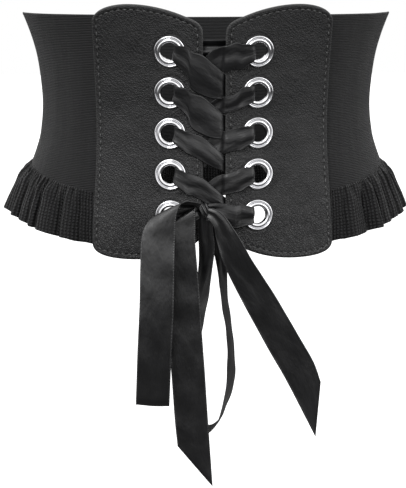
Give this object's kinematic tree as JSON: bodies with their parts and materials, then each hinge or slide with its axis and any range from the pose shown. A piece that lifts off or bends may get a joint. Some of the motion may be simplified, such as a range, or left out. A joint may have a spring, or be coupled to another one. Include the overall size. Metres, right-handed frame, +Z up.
{
  "type": "corset belt",
  "caption": "Wide laced waist belt: two leather front panels with eyelets, a satin ribbon tied in a bow, an elastic band and a gathered ruffle along its lower edge.",
  "frame": {"origin": "middle of the waist that the belt goes round, at the waist's narrowest height", "axes": "+Z up along the waist, -Y the laced front, +X to the right of the front view"},
  "size_m": [0.326, 0.2286, 0.3609],
  "materials": {
    "leather": "fine-grained black faux leather, satin",
    "elastic": "black ribbed woven elastic, matte",
    "ruffle_cloth": "black corded cloth, matte",
    "satin": "black satin ribbon, soft shine",
    "nickel": "polished nickel-plated eyelets"
  },
  "bodies": {
    "root": {"elastic_band": "elastic", "ruffle": "ruffle_cloth", "front_panel_left": "leather", "front_panel_right": "leather", "eyelet_left_1": "nickel", "eyelet_left_2": "nickel", "eyelet_left_3": "nickel", "eyelet_left_4": "nickel", "eyelet_left_5": "nickel", "eyelet_right_1": "nickel", "eyelet_right_2": "nickel", "eyelet_right_3": "nickel", "eyelet_right_4": "nickel", "eyelet_right_5": "nickel", "lace": "satin", "bow_knot": "satin", "bow_loop_left": "satin", "bow_loop_right": "satin", "bow_tail_left": "satin", "bow_tail_right": "satin"}
  },
  "joints": []
}
